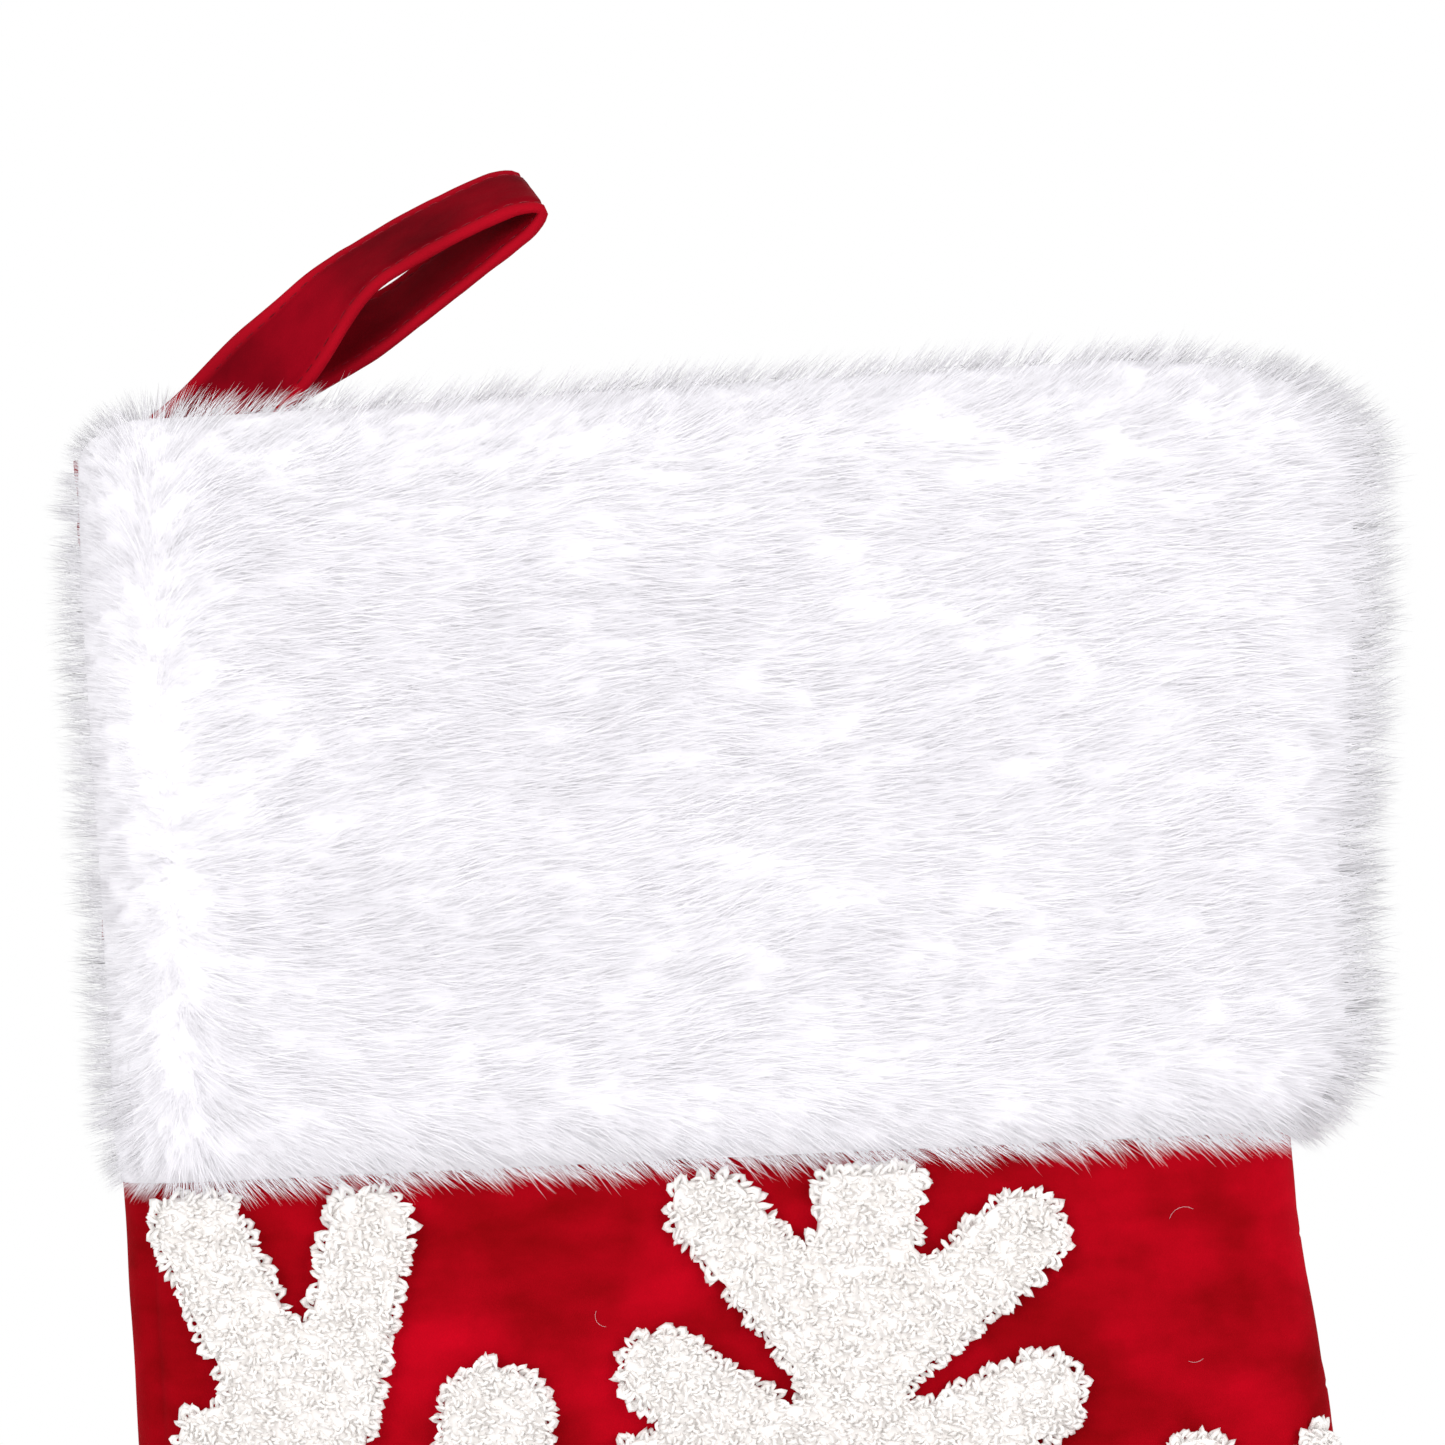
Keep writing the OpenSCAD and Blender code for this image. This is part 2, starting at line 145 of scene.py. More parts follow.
soft_light("left_box", (-0.9, -1.4, 0.4), 1.0, 12.5)
soft_light("right_box", (1.0, -1.3, 0.25), 1.0, 12.5)
soft_light("back_box", (0.3, 1.6, 0.6), 1.0, 7)
world = bpy.data.worlds.new("white_room")
world.use_nodes = True
bpy.context.scene.world = world
room = world.node_tree.nodes["Background"]
seen = world.node_tree.nodes.new("ShaderNodeLightPath")
strength = world.node_tree.nodes.new("ShaderNodeMapRange")
strength.inputs["To Min"].default_value = 0.62
strength.inputs["To Max"].default_value = 1.0
world.node_tree.links.new(seen.outputs["Is Camera Ray"], strength.inputs["Value"])
world.node_tree.links.new(strength.outputs["Result"], room.inputs["Strength"])
room.inputs["Color"].default_value = (1, 1, 1, 1)


# ---- Velvet leg and foot
# Two panels of crimson velvet, sewn together along the sides and the sole and turned right side
# out. The heel-side seam rolls a little to the front. The cloth is crushed at the ankle.
velvet_thickness = 0.0016
mouth_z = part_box("front_panel")[1].z
heel_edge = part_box("cuff_front")[0].x + 0.005
seam_line = heel_edge + 0.0056
seam_width = 0.0013
cloth_cell = 0.0026


def add_node(tree, kind, settings=(), values=()):
    """A new node with the settings and input values given as pairs."""
    node = tree.nodes.new(kind)
    for key, value in settings:
        setattr(node, key, value)
    for key, value in values:
        node.inputs[key].default_value = value
    return node


def cloth_material(name, roughness, sheen, sheen_tint, source=""):
    """A new cloth material: its tree, its shader and the output that its patterns read.
    They read the mesh attribute named source, or else the object's own coordinates."""
    material = bpy.data.materials.new(name)
    material.use_nodes = True
    tree = material.node_tree
    shader = tree.nodes["Principled BSDF"]
    shader.inputs["Roughness"].default_value = roughness
    shader.inputs["Specular IOR Level"].default_value = 0.04
    shader.inputs["Sheen Weight"].default_value = sheen
    shader.inputs["Sheen Roughness"].default_value = 0.38
    shader.inputs["Sheen Tint"].default_value = sheen_tint
    if source:
        place = add_node(tree, "ShaderNodeAttribute", [("attribute_name", source)]).outputs["Vector"]
    else:
        place = add_node(tree, "ShaderNodeTexCoord").outputs["Object"]
    return material, tree, shader, place


def noise_at(tree, place, scale, detail, stretch=(1, 1, 1)):
    """The 0 to 1 output of a noise of that many cells a metre, stretched along the axes."""
    mapping = add_node(tree, "ShaderNodeMapping", values=[("Scale", stretch)])
    pattern = add_node(tree, "ShaderNodeTexNoise", values=[("Scale", scale), ("Detail", detail)])
    tree.links.new(place, mapping.inputs["Vector"])
    tree.links.new(mapping.outputs["Vector"], pattern.inputs["Vector"])
    return pattern.outputs["Fac"]


def colour_between(tree, amount, low, high, dark, bright):
    """A colour that goes from dark to bright as the amount goes from low to high."""
    ramp = add_node(tree, "ShaderNodeValToRGB")
    ramp.color_ramp.elements[0].position = low
    ramp.color_ramp.elements[0].color = (*dark, 1)
    ramp.color_ramp.elements[1].position = high
    ramp.color_ramp.elements[1].color = (*bright, 1)
    tree.links.new(amount, ramp.inputs["Fac"])
    return ramp.outputs["Color"]


def mixed(tree, first, second, share):
    """The two colours mixed, with that share of the second."""
    mix = add_node(tree, "ShaderNodeMix", [("data_type", "RGBA")], [("Factor", share)])
    tree.links.new(first, mix.inputs["A"])
    tree.links.new(second, mix.inputs["B"])
    return mix.outputs["Result"]


def bump(tree, height, depth, strength, shader):
    """Raises the surface by the height, up to that depth in metres."""
    relief = add_node(tree, "ShaderNodeBump", values=[("Distance", depth), ("Strength", strength)])
    tree.links.new(height, relief.inputs["Height"])
    tree.links.new(relief.outputs["Normal"], shader.inputs["Normal"])


def velvet(name, dark, bright, source=""):
    """Velvet whose nap lies this way and that in soft patches, with a fine short pile."""
    material, tree, shader, place = cloth_material(name, 0.85, 0.08, (1, 0.01, 0.04, 1), source)
    patches = noise_at(tree, place, 30, 5, (1, 1, 0.75))
    crush = noise_at(tree, place, 95, 3, (0.6, 1, 1.3))
    broad = colour_between(tree, patches, 0.4, 0.62, dark, bright)
    fine = colour_between(tree, crush, 0.34, 0.7, dark, bright)
    tree.links.new(mixed(tree, broad, fine, 0.38), shader.inputs["Base Color"])
    bump(tree, noise_at(tree, place, 1500, 2), 0.0002, 0.35, shader)
    return material


crimson_velvet = velvet("crimson_velvet", (0.22, 0.0001, 0.002), (0.5, 0.0004, 0.01))


def evenly_meshed(name, form, cell):
    """The closed form as a mesh of even four-sided cells."""
    rough = link_piece(name, form, None)
    remesh = rough.modifiers.new("remesh", "REMESH")
    remesh.mode = "VOXEL"
    remesh.voxel_size = cell
    bpy.context.view_layer.update()
    even = rough.evaluated_get(bpy.context.evaluated_depsgraph_get()).to_mesh()
    form = bmesh.new()
    form.from_mesh(even)
    bpy.data.objects.remove(rough)
    return form


def smooth(form, times):
    """Evens out the form's surface."""
    for _ in range(times):
        bmesh.ops.smooth_vert(form, verts=form.verts, factor=0.5,
                              use_axis_x=True, use_axis_y=True, use_axis_z=True)


def keep_side(form, point, normal):
    """Cuts the form at a plane and keeps the side that the normal points away from."""
    everything = form.verts[:] + form.edges[:] + form.faces[:]
    bmesh.ops.bisect_plane(form, geom=everything, dist=1e-6, plane_co=point, plane_no=normal,
                           clear_outer=True)


def wave(point, cell, seed):
    """A smooth random value from -1 to 1 that changes over cells of that size."""
    return noise.noise(Vector(point) / cell + Vector((seed, 0, 0)))


# The outside of the front panel and its mirror image make the filled shape of the bag
bag = bmesh.new()
bag.from_mesh(nodes["front_panel"].data)
bmesh.ops.remove_doubles(bag, verts=bag.verts, dist=1e-5)
bag.normal_update()
inner_faces = [face for face in bag.faces if face.normal.y > -0.01]
bmesh.ops.delete(bag, geom=inner_faces, context="FACES")
bmesh.ops.mirror(bag, geom=bag.verts[:] + bag.edges[:] + bag.faces[:], axis="Y", merge_dist=0.0003)
bmesh.ops.edgeloop_fill(bag, edges=[edge for edge in bag.edges if edge.is_boundary])
bmesh.ops.recalc_face_normals(bag, faces=bag.faces)
bag = evenly_meshed("bag", bag, cloth_cell)
smooth(bag, 4)
for step in (-1, 0, 1):
    bmesh.ops.bisect_plane(bag, geom=bag.verts[:] + bag.edges[:] + bag.faces[:], dist=1e-6,
                           plane_co=(seam_line + step * seam_width, 0, 0), plane_no=(1, 0, 0))
bmesh.ops.remove_doubles(bag, verts=bag.verts, dist=0.0006)
bag.normal_update()

ankle = Vector((0.03, 0, mouth_z - 0.31))
ankle_reach = 0.085
for vertex in bag.verts:
    x, y, z = vertex.co
    lift = 0.0011 * wave((x, y * 2, z), 0.055, 3) + 0.0005 * wave((x, y * 2, z), 0.02, 11)
    # Creases that run from the heel up to the instep, where the foot bends away from the leg
    nearness = math.exp(-(((x - ankle.x) / 0.12) ** 2) - ((z - ankle.z) / ankle_reach) ** 2)
    slant = z + 0.28 * x + 0.008 * wave((x, y, z), 0.05, 7)
    lift += 0.0017 * nearness * math.sin(2 * math.pi * slant / 0.036)
    # The panels pull in where they are sewn together
    beside_heel = x < seam_line + 0.02 and z > ankle.z
    if beside_heel and y < 0 and z < mouth_z - 0.13:
        lift -= 0.0013 * math.exp(-((x - seam_line) / seam_width) ** 2)
    if not beside_heel:
        lift -= 0.0012 * math.exp(-((y / 0.0016) ** 2))
    vertex.co += lift * vertex.normal
bag.normal_update()


def half_of(form, side):
    """A copy of the front half of the form, for side -1, or of its back half, for side 1."""
    half = form.copy()
    keep_side(half, (0, 0, 0), (0, -side, 0))
    return half


def give_thickness(piece, thickness):
    """Thickens a sheet inwards."""
    solidify = piece.modifiers.new("thickness", "SOLIDIFY")
    solidify.thickness = thickness
    solidify.offset = -1


def toward_heel(point, reach):
    """1 beside the heel-side seam, falling to 0 at that distance from it."""
    return min(1, max(0, 1 - (point.x - heel_edge) / reach))


mouth_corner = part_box("mouth_facing")[1].x + 0.0055
toe_droop, toe_droop_reach = 0.008, 0.04
heel_droop, heel_droop_reach = 0.004, 0.016
droop_depth = 0.03
velvet_below_mouth = 0.008
edges_below_mouth = 0.01


def mouth_droop(point):
    """How far the mouth's edge hangs down at its two corners, least away from them."""
    beside_toe = min(1, max(0, (point.x - mouth_corner + toe_droop_reach) / toe_droop_reach))
    beside_heel = toward_heel(point, heel_droop_reach)
    near_mouth = min(1, max(0, 1 - (mouth_z - point.z) / droop_depth))
    return (toe_droop * beside_toe ** 2 + heel_droop * beside_heel ** 2) * near_mouth


open_bag = bag.copy()
keep_side(open_bag, (0, 0, mouth_z - 0.002), (0, 0, 1))
for vertex in open_bag.verts:
    vertex.co.z -= mouth_droop(vertex.co)
# The velvet ends below the mouth, where the plush is turned over it
velvet_form = open_bag.copy()
keep_side(velvet_form, (0, 0, mouth_z - velvet_below_mouth), (0, 0, 1))
for side, half_name in ((-1, "front"), (1, "back")):
    panel = link_piece("velvet_" + half_name, half_of(velvet_form, side), crimson_velvet)
    give_thickness(panel, velvet_thickness)
    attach(panel, "stocking")
    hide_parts(half_name + "_panel")
velvet_form.free()


# ---- Side seam
# The raw edges of the two panels, overlocked together with red thread inside the bag. The strip is
# the CAD one, but ends below the mouth, where the plush is turned in over it.
overlock_thread, tree, shader, place = cloth_material("overlock_thread", 0.6, 0.3, (1, 0.5, 0.5, 1))
rows = noise_at(tree, place, 900, 1, (1, 1, 1))
tree.links.new(colour_between(tree, rows, 0.35, 0.65, (0.25, 0.01, 0.02), (0.5, 0.02, 0.05)),
               shader.inputs["Base Color"])
bump(tree, rows, 0.0003, 0.6, shader)
edge_form = bmesh.new()
edge_form.from_mesh(nodes["side_seam"].data)
bmesh.ops.remove_doubles(edge_form, verts=edge_form.verts, dist=1e-5)
keep_side(edge_form, (0, 0, mouth_z - edges_below_mouth), (0, 0, 1))
bmesh.ops.holes_fill(edge_form, edges=edge_form.edges[:], sides=0)
bmesh.ops.recalc_face_normals(edge_form, faces=edge_form.faces)
edge_piece = link_piece("overlocked_edges", edge_form, overlock_thread, smooth=False)
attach(edge_piece, "stocking")
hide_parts("side_seam")


# ---- Lining
# Two panels of plain woven off-white cloth, cut a little smaller than the velvet, sewn in at the
# mouth and hanging free inside.
lining_gap = 0.0032
lining_thickness = 0.0008
woven_lining, tree, shader, place = cloth_material("woven_lining", 0.85, 0.15, (1, 1, 1, 1))
thread_pitch = 0.0009
warp = add_node(tree, "ShaderNodeTexWave", [("bands_direction", "X")],
                [("Scale", 1 / thread_pitch / 6.3), ("Distortion", 0.4)])
weft = add_node(tree, "ShaderNodeTexWave", [("bands_direction", "Z")],
                [("Scale", 1 / thread_pitch / 6.3), ("Distortion", 0.4)])
weave = add_node(tree, "ShaderNodeMath", [("operation", "MULTIPLY")])
for number, threads in enumerate((warp, weft)):
    tree.links.new(place, threads.inputs["Vector"])
    tree.links.new(threads.outputs["Fac"], weave.inputs[number])
tree.links.new(colour_between(tree, weave.outputs[0], 0, 0.9, (0.62, 0.6, 0.57), (0.82, 0.8, 0.77)),
               shader.inputs["Base Color"])
bump(tree, weave.outputs[0], 0.0002, 0.5, shader)

lining_form = open_bag.copy()
lining_form.normal_update()
for vertex in lining_form.verts:
    vertex.co -= lining_gap * vertex.normal
smooth(lining_form, 2)
for side, half_name in ((-1, "front"), (1, "back")):
    lining = link_piece("lining_cloth_" + half_name, half_of(lining_form, side), woven_lining)
    give_thickness(lining, lining_thickness)
    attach(lining, "stocking")
    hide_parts("lining_" + half_name)
lining_form.free()


# ---- Plush cuff
# A tube of long white plush round the top of the leg, with its seams on the heel and toe sides. Its
# backing is a thick soft layer, and the pile leans to the toe side and spills over both edges.
cuff_low, cuff_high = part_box("cuff_front")
cuff_top = mouth_z - 0.0005
cuff_bottom_heel = cuff_low.z + 0.006
cuff_bottom_toe = cuff_low.z + 0.0025
toe_edge = cuff_high.x - 0.017
pile_length = 0.0115
underfur_depth = 0.0052

white_plush, tree, shader, place = cloth_material("white_plush", 0.9, 0.25, (0.97, 0.97, 1, 1))
# Painted glow: the plush gives off a little light of its own, standing in for the light that wanders about inside
# the pile, and so lifts its shadows
shader.inputs["Emission Color"].default_value = (1, 0.98, 1, 1)
shader.inputs["Emission Strength"].default_value = 0.16
drifts = noise_at(tree, place, 30, 3, (0.5, 1, 1.1))
tree.links.new(colour_between(tree, drifts, 0.3, 0.7, (0.785, 0.77, 0.81), (0.84, 0.825, 0.865)),
               shader.inputs["Base Color"])


def edge_share(point):
    """How near the cuff's top or bottom edge a point is: 1 at the top, -1 at the bottom, 0 between."""
    across = (point.x - heel_edge) / (toe_edge - heel_edge)
    bottom = cuff_bottom_heel + (cuff_bottom_toe - cuff_bottom_heel) * across
    near_top = max(0, 1 - (cuff_top - point.z) / 0.016)
    near_bottom = max(0, 1 - (point.z - bottom) / 0.016)
    return near_top - near_bottom


def caught_at(z):
    """Near 1 at the three heights where the pile is caught in the heel-side seam and velvet shows."""
    return sum(math.exp(-((z - mouth_z + drop) / reach) ** 4)
               for drop, reach in ((0.009, 0.006), (0.021, 0.003), (0.103, 0.0025)))


cuff_form = bag.copy()
keep_side(cuff_form, (0, 0, cuff_top), (0, 0, 1))
cuff_slope = (cuff_bottom_toe - cuff_bottom_heel) / (toe_edge - heel_edge)
keep_side(cuff_form, (heel_edge, 0, cuff_bottom_heel), (cuff_slope, 0, -1))
cuff_form.normal_update()
bmesh.ops.solidify(cuff_form, geom=cuff_form.faces[:], thickness=-0.0004)
cuff_form.normal_update()
grown = cuff_form.verts.layers.float.new("growth")
middle_x = (heel_edge + toe_edge) / 2
for vertex in cuff_form.verts:
    outwards = Vector((0.25 * (vertex.co.x - middle_x), vertex.co.y, 0)).dot(vertex.normal) > 0
    edge = edge_share(vertex.co)
    vertex[grown] = 0.0
    if outwards:
        vertex[grown] = 1 + 1.6 * max(0, -edge) ** 2 + 0.5 * max(0, edge) ** 2
        fullness = math.sqrt(max(0, 1 - abs(edge) ** 2))
        beside_toe = min(1, max(0, (vertex.co.x - toe_edge + 0.035) / 0.035))
        depth = underfur_depth * (1 - 0.72 * toward_heel(vertex.co, 0.012) + 1.5 * beside_toe ** 2)
        lumps = 0.0012 * wave(vertex.co, 0.045, 21) + 0.0006 * wave(vertex.co, 0.018, 5)
        depth += lumps * (1 - toward_heel(vertex.co, 0.02))
        # The corners are brushed round
        inwards = beside_toe ** 2 * (0.004 * max(0, edge) - 0.004 * min(0, edge))
        vertex.co += depth * fullness * vertex.normal - Vector((inwards, 0, 0))
    vertex.co.z -= mouth_droop(vertex.co)
bmesh.ops.smooth_vert(cuff_form, verts=[v for v in cuff_form.verts if v[grown] > 0.5], factor=0.5,
                      use_axis_x=True, use_axis_y=True, use_axis_z=True)
cuff_form.normal_update()


def comb_cuff(form):
    """Stores which way the pile leans and bends at each point, and how long it is."""
    lean = form.verts.layers.float_vector.new("lean")
    comb = form.verts.layers.float_vector.new("comb")
    length = form.verts.layers.float.new("length")
    for vertex in form.verts:
        point, out = vertex.co, vertex.normal
        edge = edge_share(point)
        beside_seam = toward_heel(point, 0.03)
        height = 2 * (point.z - cuff_bottom_heel) / (cuff_top - cuff_bottom_heel) - 1
        swirl = 0.3 * wave(point, 0.035, 31) + 0.12
        fan = 3 * height * beside_seam * (1 - beside_seam)
        rise = (0.4 if edge > 0 else 0.9) * edge + swirl + fan
        nap = Vector((max(-1, min(1, 2.5 - 5 * beside_seam)), 0, rise))
        vertex[lean] = (0.6 * out + 0.85 * nap).normalized()
        vertex[comb] = nap + Vector((0, 0, 0.01))
        corner = max(0, edge) * min(1, max(0, (point.x - toe_edge + 0.03) / 0.03))
        bare = 0.2 * caught_at(point.z) * toward_heel(point, 0.01)
        vertex[length] = (1 - 0.35 * toward_heel(point, 0.02) - 0.3 * abs(edge)
                          - 0.2 * corner) * (1 - bare)


comb_cuff(cuff_form)


def pile_wisp(form, base, length, bow, foot, tilt):
    """Adds one pointed wisp of fibres: three-sided, bowed along X, standing at foot and tilted."""
    made = bmesh.ops.create_cone(form, cap_ends=True, cap_tris=True, segments=3, radius1=base,
                                 radius2=0, depth=length)["verts"]
    bmesh.ops.translate(form, verts=made, vec=(0, 0, length / 2))
    edges = list({edge for vertex in made for edge in vertex.link_edges})
    faces = list({face for vertex in made for face in vertex.link_faces})
    cut = bmesh.ops.bisect_plane(form, geom=made + edges + faces, dist=1e-6,
                                 plane_co=(0, 0, 0.45 * length), plane_no=(0, 0, 1))["geom_cut"]
    belly = [part for part in cut if isinstance(part, bmesh.types.BMVert)]
    for vertex in made + belly:
        height = vertex.co.z / length
        widen = 1.35 if vertex in belly else 1
        vertex.co.x = vertex.co.x * widen + bow * height ** 2 + tilt[0] * vertex.co.z + foot[0]
        vertex.co.y = vertex.co.y * widen + tilt[1] * vertex.co.z + foot[1]


def plant(name, ground, sprigs, density, seed, tilt, turn, sizes, softness, material):
    """A mesh of sprigs planted at random on the ground's faces, where its growth attribute is high.
    Each points along the ground's lean and bends along its comb, give or take tilt and turn, and
    takes that share of its shading from the ground, as a dense soft pile does."""
    tree = bpy.data.node_groups.new(name, "GeometryNodeTree")
    for way in ("INPUT", "OUTPUT"):
        tree.interface.new_socket("Geometry", in_out=way, socket_type="NodeSocketGeometry")
    start = add_node(tree, "NodeGroupInput")
    end = add_node(tree, "NodeGroupOutput")

    def attribute(kind, label):
        return add_node(tree, "GeometryNodeInputNamedAttribute", [("data_type", kind)],
                        [("Name", label)]).outputs["Attribute"]

    def maths(kind, operation, first, second):
        node = add_node(tree, kind, [("operation", operation)])
        tree.links.new(first, node.inputs[0])
        if isinstance(second, float):
            node.inputs[1].default_value = second
        else:
            tree.links.new(second, node.inputs[1])
        return node.outputs[0]

    def strayed(label, spread, number):
        stray = add_node(tree, "FunctionNodeRandomValue", [("data_type", "FLOAT_VECTOR")],
                         [(0, (-spread,) * 3), (1, (spread,) * 3), ("Seed", number)])
        return maths("ShaderNodeVectorMath", "ADD", attribute("FLOAT_VECTOR", label), stray.outputs[0])

    scatter = add_node(tree, "GeometryNodeDistributePointsOnFaces", values=[("Seed", seed)])
    tree.links.new(start.outputs[0], scatter.inputs["Mesh"])
    tree.links.new(maths("ShaderNodeMath", "MULTIPLY", attribute("FLOAT", "growth"), float(density)),
                   scatter.inputs["Density"])
    choice = add_node(tree, "GeometryNodeCollectionInfo",
                      values=[("Collection", sprigs), ("Separate Children", True), ("Reset Children", True)])
    turned = add_node(tree, "FunctionNodeAxesToRotation", [("primary_axis", "Z"), ("secondary_axis", "X")])
    tree.links.new(strayed("lean", tilt, seed + 1), turned.inputs[0])
    tree.links.new(strayed("comb", turn, seed + 2), turned.inputs[1])
    size = add_node(tree, "FunctionNodeRandomValue", [("data_type", "FLOAT")],
                    [(2, sizes[0]), (3, sizes[1]), ("Seed", seed + 3)])
    marked = add_node(tree, "GeometryNodeStoreNamedAttribute", [("data_type", "FLOAT_VECTOR")],
                      [("Name", "up")])
    tree.links.new(scatter.outputs["Points"], marked.inputs["Geometry"])
    tree.links.new(scatter.outputs["Normal"], marked.inputs["Value"])
    place = add_node(tree, "GeometryNodeInstanceOnPoints", values=[("Pick Instance", True)])
    pick = add_node(tree, "FunctionNodeRandomValue", [("data_type", "INT")],
                    [(4, 0), (5, len(sprigs.objects) - 1), ("Seed", seed + 4)])
    tree.links.new(marked.outputs["Geometry"], place.inputs["Points"])
    tree.links.new(choice.outputs[0], place.inputs["Instance"])
    tree.links.new(pick.outputs[2], place.inputs["Instance Index"])
    tree.links.new(turned.outputs[0], place.inputs["Rotation"])
    tree.links.new(maths("ShaderNodeMath", "MULTIPLY", size.outputs[1], attribute("FLOAT", "length")),
                   place.inputs["Scale"])
    real = add_node(tree, "GeometryNodeRealizeInstances")
    tree.links.new(place.outputs[0], real.inputs[0])
    tree.links.new(real.outputs[0], end.inputs[0])

    bed = ground.copy()
    bpy.context.scene.collection.objects.link(bed)
    planting = bed.modifiers.new("planting", "NODES")
    planting.node_group = tree
    bpy.context.view_layer.update()
    mesh = bpy.data.meshes.new_from_object(bed.evaluated_get(bpy.context.evaluated_depsgraph_get()))
    bpy.data.objects.remove(bed)
    mesh.name = name
    mesh.materials.clear()
    mesh.materials.append(material)
    mesh.shade_smooth()
    facing = np.zeros(len(mesh.vertices) * 3, np.float32)
    own = facing.copy()
    mesh.attributes["up"].data.foreach_get("vector", facing)
    mesh.vertices.foreach_get("normal", own)
    soft = (softness * facing + (1 - softness) * own).reshape(-1, 3)
    soft /= np.linalg.norm(soft, axis=1)[:, None] + 1e-9
    mesh.normals_split_custom_set_from_vertices(soft)
    for label in ("up", "growth", "lean", "comb", "length"):
        if label in mesh.attributes:
            mesh.attributes.remove(mesh.attributes[label])
    piece = bpy.data.objects.new(name, mesh)
    bpy.context.scene.collection.objects.link(piece)
    return piece


def sprig_box(name):
    """A collection for the sprigs that are planted, which is emptied at the end."""
    box = bpy.data.collections.new(name)
    bpy.context.scene.collection.children.link(box)
    return box


def put_in(box, name, form):
    """Turns a form into one sprig of that collection."""
    sprig = link_piece(name, form, None)
    bpy.context.scene.collection.objects.unlink(sprig)
    box.objects.link(sprig)


pile_tufts = sprig_box("pile_tufts")
luck = np.random.default_rng(12)
for number in range(8):
    tuft = bmesh.new()
    for _ in range(5):
        pile_wisp(tuft, base=luck.uniform(0.00008, 0.00014), length=pile_length * luck.uniform(0.75, 1.08),
                  bow=luck.uniform(-0.0005, 0.003), foot=luck.uniform(-0.0014, 0.0014, 2),
                  tilt=luck.uniform(-0.14, 0.14, 2))
    put_in(pile_tufts, f"pile_tuft_{number}", tuft)

cuff_layers = {"front": 4, "back": 1}
cuff_density = 58000
for side, half_name in ((-1, "front"), (1, "back")):
    half = half_of(cuff_form, side)
    bmesh.ops.holes_fill(half, edges=half.edges[:], sides=0)
    body = link_piece("cuff_plush_" + half_name, half, white_plush)
    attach(body, "stocking")
    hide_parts("cuff_" + half_name)
    for layer in range(cuff_layers[half_name]):
        pile = plant(f"cuff_pile_{half_name}_{layer + 1}", body, pile_tufts, density=cuff_density,
                     seed=40 + 10 * layer + side, tilt=0.14, turn=0.3, sizes=(0.75, 1.1), softness=0.9,
                     material=white_plush)
        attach(pile, "stocking")
cuff_form.free()


# ---- Plush facing
# The cuff's plush turned in over the mouth and sewn to the lining, a band with a shorter pile.
facing_gap = 0.0046
facing_thickness = 0.0018
facing_form = open_bag.copy()
keep_side(facing_form, (0, 0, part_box("mouth_facing")[0].z), (0, 0, -1))
facing_form.normal_update()
for vertex in facing_form.verts:
    vertex.co -= facing_gap * vertex.normal
bmesh.ops.solidify(facing_form, geom=facing_form.faces[:], thickness=facing_thickness)
facing_form.normal_update()
growth = facing_form.verts.layers.float.new("growth")
lean = facing_form.verts.layers.float_vector.new("lean")
comb = facing_form.verts.layers.float_vector.new("comb")
length = facing_form.verts.layers.float.new("length")
for vertex in facing_form.verts:
    at_top = max(0, 1 - (mouth_z - vertex.co.z) / 0.006)
    inwards = Vector((0.25 * (vertex.co.x - middle_x), vertex.co.y, 0)).dot(vertex.normal) < 0
    vertex[growth] = 1.0 if inwards or at_top > 0.4 else 0.0
    vertex[lean] = (0.4 * vertex.normal + Vector((0.5, 0, 0.25 + 0.2 * at_top))).normalized()
    vertex[comb] = Vector((1, 0, 0.3))
    vertex[length] = 0.5
facing_piece = link_piece("mouth_band", facing_form, white_plush)
facing_pile = plant("mouth_band_pile", facing_piece, pile_tufts, density=60000, seed=160, tilt=0.25,
                    turn=0.4, sizes=(0.75, 1.1), softness=0.7, material=white_plush)
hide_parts("mouth_facing")
for piece in (facing_piece, facing_pile):
    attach(piece, "stocking")


# ---- Cuff seams
# The red velvet seam allowance inside the cuff's heel-side seam. It shows between the wisps, most
# of all near the top, where the ends of the strap are caught in. The toe side's is not drawn.
def seam_strip(form, from_point, to_point, reach, out):
    """Adds a wavy strip from one point to the other that stands out by its reach at each height."""
    steps = 60
    made = bmesh.ops.create_grid(form, x_segments=steps, y_segments=4, size=1)["verts"]
    for vertex in made:
        run, across = (vertex.co.x + 1) / 2, (vertex.co.y + 1) / 2
        spot = Vector(from_point).lerp(Vector(to_point), run)
        spot += Vector(out) * across * reach(spot.z)
        spot.y += 0.0012 * across * math.sin(41 * run) + 0.0008 * across * wave(spot, 0.008, 3)
        vertex.co = spot
    bmesh.ops.solidify(form, geom=[face for face in form.faces if face.verts[0] in made], thickness=0.001)


def heel_reach(z):
    """How far the heel-side allowance stands out at a height."""
    return 0.0002 + 0.0009 * caught_at(z) * (0.85 + 0.3 * wave((0, 0, z), 0.003, 5))


strips = bmesh.new()
seam_strip(strips, (heel_edge - 0.0003, 0, mouth_z - 0.007), (heel_edge - 0.0003, 0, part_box("cuff_seams")[0].z),
           heel_reach, (-1, 0, 0))
seam_piece = link_piece("cuff_seam_strips", strips, crimson_velvet)
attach(seam_piece, "stocking")
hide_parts("cuff_seams")


